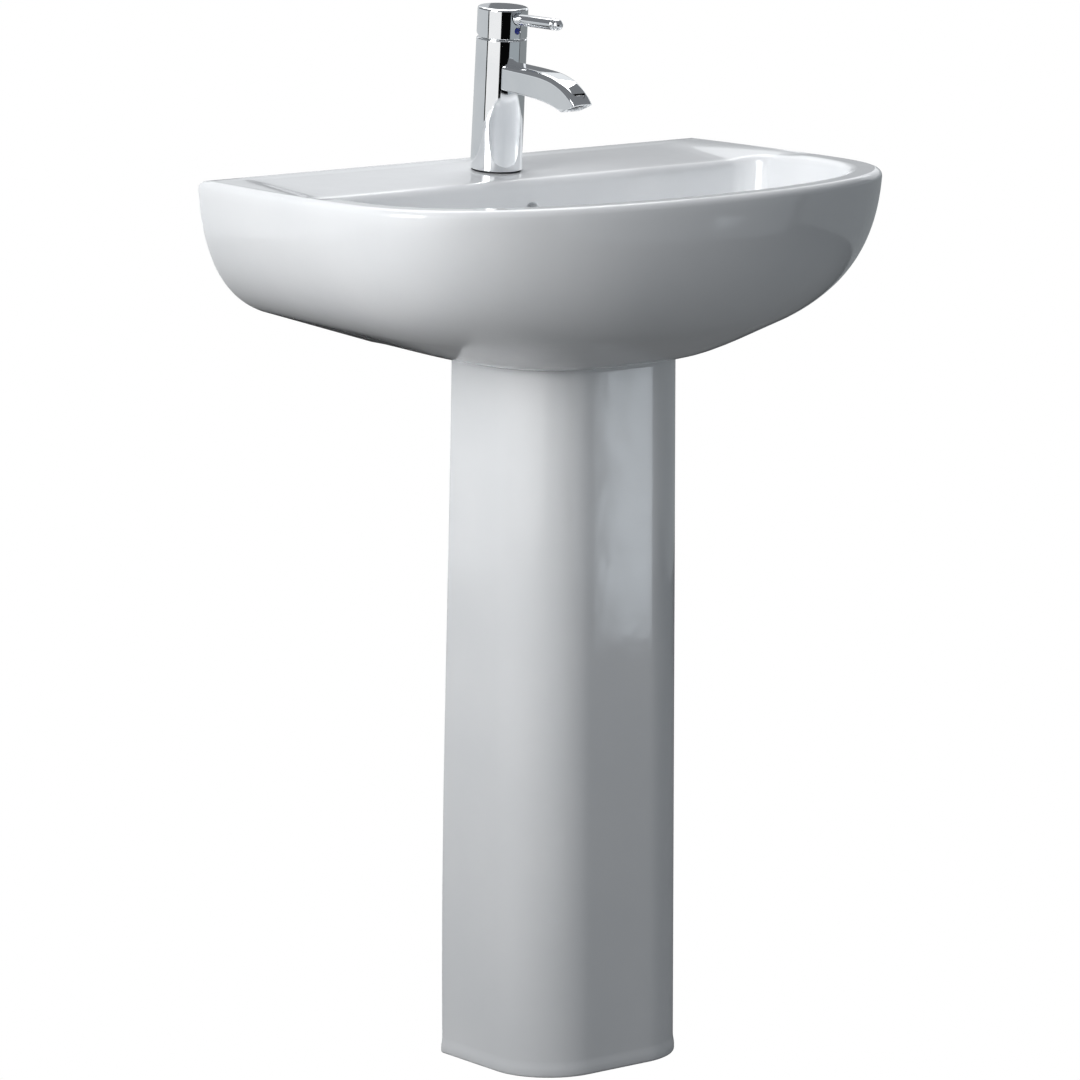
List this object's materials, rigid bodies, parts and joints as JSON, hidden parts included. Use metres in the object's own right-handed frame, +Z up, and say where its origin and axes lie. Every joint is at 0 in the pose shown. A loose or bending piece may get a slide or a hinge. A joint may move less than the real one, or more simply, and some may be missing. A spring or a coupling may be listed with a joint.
{
  "type": "pedestal sink",
  "caption": "White D-shaped ceramic basin on a hollow ceramic pedestal, with a leaning chrome single-lever mixer tap, a push-button waste and a bottle trap.",
  "frame": {"origin": "centre of the object's footprint on the floor: x on the basin's middle plane, y halfway between the basin's front edge and the free ends of the wall bolts, z at the pedestal's foot", "axes": "+Z up, +Y towards the wall, -Y towards the user, +X to the user's right"},
  "size_m": [0.6, 0.434, 0.9917],
  "materials": {
    "glazed_ceramic": "glossy white glaze",
    "chrome": "polished chrome plate",
    "brass": "plain turned brass",
    "copper": "drawn copper tube, slightly dulled",
    "steel": "zinc plated steel",
    "rubber": "matte black rubber",
    "white_plastic": "satin moulded white plastic",
    "dark_plastic": "satin dark grey plastic",
    "blue_plastic": "glossy blue plastic"
  },
  "bodies": {
    "fixture": {"tap_body": "chrome", "cartridge_housing": "white_plastic", "cartridge_nut": "chrome", "aerator_housing": "chrome", "aerator_insert": "dark_plastic", "base_gasket": "rubber", "fixing_stud": "steel", "horseshoe_gasket": "rubber", "horseshoe_plate": "steel", "fixing_nut": "brass", "basin": "glazed_ceramic", "pedestal": "glazed_ceramic", "wall_bolt_left": "steel", "wall_bush_left": "white_plastic", "wall_washer_left": "steel", "wall_nut_left": "steel", "floor_washer_left": "white_plastic", "floor_screw_left": "steel", "wall_bolt_right": "steel", "wall_bush_right": "white_plastic", "wall_washer_right": "steel", "wall_nut_right": "steel", "floor_washer_right": "white_plastic", "floor_screw_right": "steel", "hot_supply_tail": "copper", "hot_tail_nut": "brass", "cold_supply_tail": "copper", "cold_tail_nut": "brass", "waste_body": "chrome", "waste_flange_seal": "rubber", "waste_lower_seal": "rubber", "waste_backnut": "brass", "plug_spider": "dark_plastic", "trap_inlet_pipe": "white_plastic", "trap_inlet_nut": "white_plastic", "trap_body": "white_plastic", "trap_top_nut": "white_plastic", "trap_cup": "white_plastic", "trap_outlet_pipe": "white_plastic", "trap_outlet_nut": "white_plastic"},
    "swivel": {"cartridge_carrier": "dark_plastic"},
    "handle": {"cartridge_stem": "brass", "handle_cap": "chrome", "lever_pin": "chrome", "lever_grub_screw": "steel", "indicator_plug": "blue_plastic"},
    "plug": {"waste_plug": "chrome", "plug_seal": "rubber"}
  },
  "joints": [
    {"name": "handle_swivel", "type": "hinge", "parent": "fixture", "child": "swivel", "pos_m": [0, 0.10048, 0.96473], "axis": [0, -0.0732, 0.9973], "range_deg": [-45, 45]},
    {"name": "handle_lift", "type": "hinge", "parent": "swivel", "child": "handle", "pos_m": [0, 0.10048, 0.96473], "axis": [-1, 0, 0], "range_deg": [0, 15]},
    {"name": "plug_slide", "type": "slide", "parent": "fixture", "child": "plug", "axis": [0, 0, 1], "range_m": [0, 0.009]}
  ]
}
